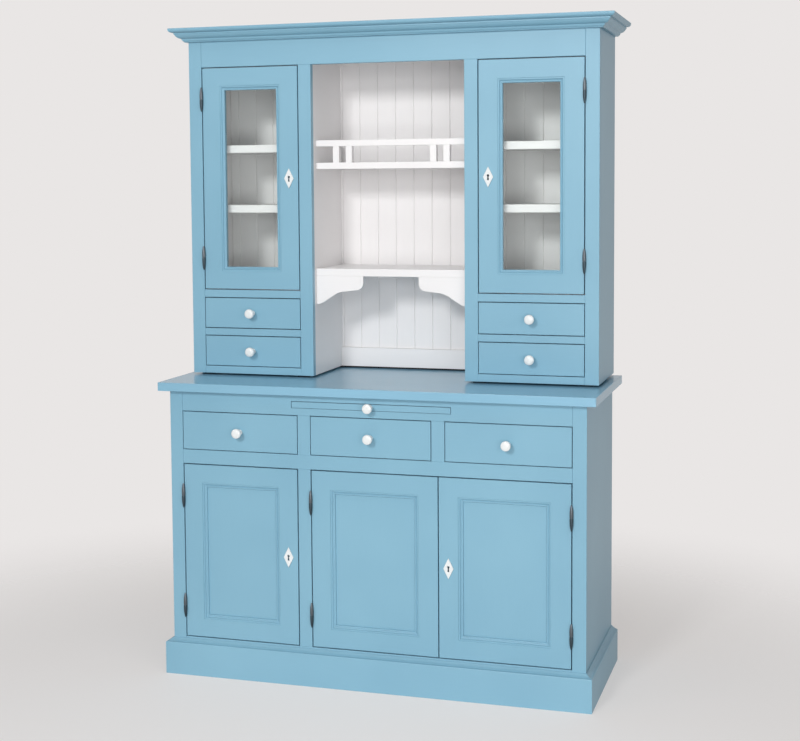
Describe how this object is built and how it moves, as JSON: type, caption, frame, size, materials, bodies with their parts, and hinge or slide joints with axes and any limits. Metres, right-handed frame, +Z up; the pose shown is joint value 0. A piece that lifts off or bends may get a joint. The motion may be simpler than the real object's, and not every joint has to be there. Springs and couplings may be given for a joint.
{
  "type": "buffet cabinet",
  "caption": "Dresser-style buffet: painted base with drawers, doors and a pull-out board, and a hutch with glazed towers either side of an open niche.",
  "frame": {"origin": "on the floor under the middle of the overall bounding box", "axes": "+X to the viewer's right along the width, +Y from the front to the back, +Z up"},
  "size_m": [1.396, 0.514, 2],
  "materials": {
    "blue_satin_paint": "solid spruce with light blue satin paint",
    "white_satin_paint": "solid spruce with white satin paint",
    "waxed_spruce": "plain waxed spruce",
    "dark_iron": "blackened iron, satin",
    "white_porcelain": "white glaze",
    "clear_glass": "clear float glass",
    "felt_pad": "pressed dark felt"
  },
  "bodies": {
    "root": {"base_front_frame": "blue_satin_paint", "base_sides": "blue_satin_paint", "base_back_panel": "waxed_spruce", "base_inner_boards": "waxed_spruce", "plinth": "blue_satin_paint", "worktop": "blue_satin_paint", "hutch_front_frame": "blue_satin_paint", "hutch_sides": "blue_satin_paint", "niche_walls": "white_satin_paint", "hutch_top": "white_satin_paint", "tower_shelves": "white_satin_paint", "hutch_back_boards": "white_satin_paint", "cornice": "blue_satin_paint", "hutch_pads": "felt_pad", "drawer_runners": "waxed_spruce", "niche_shelf": "white_satin_paint", "gallery": "white_satin_paint", "niche_skirting": "white_satin_paint", "niche_brackets": "white_satin_paint", "frame_hinge_pins": "dark_iron"},
    "base_drawer_left": {"base_drawer_left": "blue_satin_paint", "base_drawer_left_knob": "white_porcelain"},
    "base_drawer_middle": {"base_drawer_middle": "blue_satin_paint", "base_drawer_middle_knob": "white_porcelain"},
    "base_drawer_right": {"base_drawer_right": "blue_satin_paint", "base_drawer_right_knob": "white_porcelain"},
    "hutch_drawer_lower_left": {"hutch_drawer_lower_left": "blue_satin_paint", "hutch_drawer_lower_left_knob": "white_porcelain"},
    "hutch_drawer_upper_left": {"hutch_drawer_upper_left": "blue_satin_paint", "hutch_drawer_upper_left_knob": "white_porcelain"},
    "hutch_drawer_lower_right": {"hutch_drawer_lower_right": "blue_satin_paint", "hutch_drawer_lower_right_knob": "white_porcelain"},
    "hutch_drawer_upper_right": {"hutch_drawer_upper_right": "blue_satin_paint", "hutch_drawer_upper_right_knob": "white_porcelain"},
    "pull_out_board": {"pull_out_board": "blue_satin_paint", "pull_out_board_knob": "white_porcelain"},
    "base_door_left": {"base_door_left_frame": "blue_satin_paint", "base_door_left_panel": "blue_satin_paint", "base_door_left_ironwork": "dark_iron", "base_door_left_escutcheon": "white_porcelain"},
    "base_door_left_bolt": {"base_door_left_bolt": "dark_iron"},
    "base_door_middle": {"base_door_middle_frame": "blue_satin_paint", "base_door_middle_panel": "blue_satin_paint", "base_door_middle_ironwork": "dark_iron"},
    "base_door_middle_bolt": {"base_door_middle_bolt": "dark_iron"},
    "base_door_right": {"base_door_right_frame": "blue_satin_paint", "base_door_right_panel": "blue_satin_paint", "base_door_right_ironwork": "dark_iron", "base_door_right_escutcheon": "white_porcelain"},
    "base_door_right_bolt": {"base_door_right_bolt": "dark_iron"},
    "glass_door_left": {"glass_door_left_frame": "blue_satin_paint", "glass_door_left_glass": "clear_glass", "glass_door_left_ironwork": "dark_iron", "glass_door_left_escutcheon": "white_porcelain"},
    "glass_door_left_bolt": {"glass_door_left_bolt": "dark_iron"},
    "glass_door_right": {"glass_door_right_frame": "blue_satin_paint", "glass_door_right_glass": "clear_glass", "glass_door_right_ironwork": "dark_iron", "glass_door_right_escutcheon": "white_porcelain"},
    "glass_door_right_bolt": {"glass_door_right_bolt": "dark_iron"}
  },
  "joints": [
    {"name": "base_drawer_left_slide", "type": "slide", "parent": "root", "child": "base_drawer_left", "axis": [0, -1, 0], "range_m": [0, 0.3]},
    {"name": "base_drawer_middle_slide", "type": "slide", "parent": "root", "child": "base_drawer_middle", "axis": [0, -1, 0], "range_m": [0, 0.3]},
    {"name": "base_drawer_right_slide", "type": "slide", "parent": "root", "child": "base_drawer_right", "axis": [0, -1, 0], "range_m": [0, 0.3]},
    {"name": "hutch_drawer_lower_left_slide", "type": "slide", "parent": "root", "child": "hutch_drawer_lower_left", "axis": [0, -1, 0], "range_m": [0, 0.19]},
    {"name": "hutch_drawer_upper_left_slide", "type": "slide", "parent": "root", "child": "hutch_drawer_upper_left", "axis": [0, -1, 0], "range_m": [0, 0.19]},
    {"name": "hutch_drawer_lower_right_slide", "type": "slide", "parent": "root", "child": "hutch_drawer_lower_right", "axis": [0, -1, 0], "range_m": [0, 0.19]},
    {"name": "hutch_drawer_upper_right_slide", "type": "slide", "parent": "root", "child": "hutch_drawer_upper_right", "axis": [0, -1, 0], "range_m": [0, 0.19]},
    {"name": "pull_out_board_slide", "type": "slide", "parent": "root", "child": "pull_out_board", "axis": [0, -1, 0], "range_m": [0, 0.3]},
    {"name": "base_door_left_hinge", "type": "hinge", "parent": "root", "child": "base_door_left", "pos_m": [-0.6025, -0.22875, 0.38775], "axis": [0, 0, -1], "range_deg": [0, 180]},
    {"name": "base_door_left_bolt_slide", "type": "slide", "parent": "base_door_left", "child": "base_door_left_bolt", "axis": [1, 0, 0], "range_m": [0, 0.009]},
    {"name": "base_door_middle_hinge", "type": "hinge", "parent": "root", "child": "base_door_middle", "pos_m": [-0.1865, -0.22875, 0.38775], "axis": [0, 0, -1], "range_deg": [0, 180]},
    {"name": "base_door_middle_bolt_slide", "type": "slide", "parent": "base_door_middle", "child": "base_door_middle_bolt", "axis": [0, 0, 1], "range_m": [0, 0.012]},
    {"name": "base_door_right_hinge", "type": "hinge", "parent": "root", "child": "base_door_right", "pos_m": [0.6025, -0.22875, 0.38775], "axis": [0, 0, 1], "range_deg": [0, 180]},
    {"name": "base_door_right_bolt_slide", "type": "slide", "parent": "base_door_right", "child": "base_door_right_bolt", "axis": [-1, 0, 0], "range_m": [0, 0.009]},
    {"name": "glass_door_left_hinge", "type": "hinge", "parent": "root", "child": "glass_door_left", "pos_m": [-0.6055, -0.04275, 1.53075], "axis": [0, 0, -1], "range_deg": [0, 180]},
    {"name": "glass_door_left_bolt_slide", "type": "slide", "parent": "glass_door_left", "child": "glass_door_left_bolt", "axis": [1, 0, 0], "range_m": [0, 0.009]},
    {"name": "glass_door_right_hinge", "type": "hinge", "parent": "root", "child": "glass_door_right", "pos_m": [0.6055, -0.04275, 1.53075], "axis": [0, 0, 1], "range_deg": [0, 180]},
    {"name": "glass_door_right_bolt_slide", "type": "slide", "parent": "glass_door_right", "child": "glass_door_right_bolt", "axis": [-1, 0, 0], "range_m": [0, 0.009]}
  ]
}
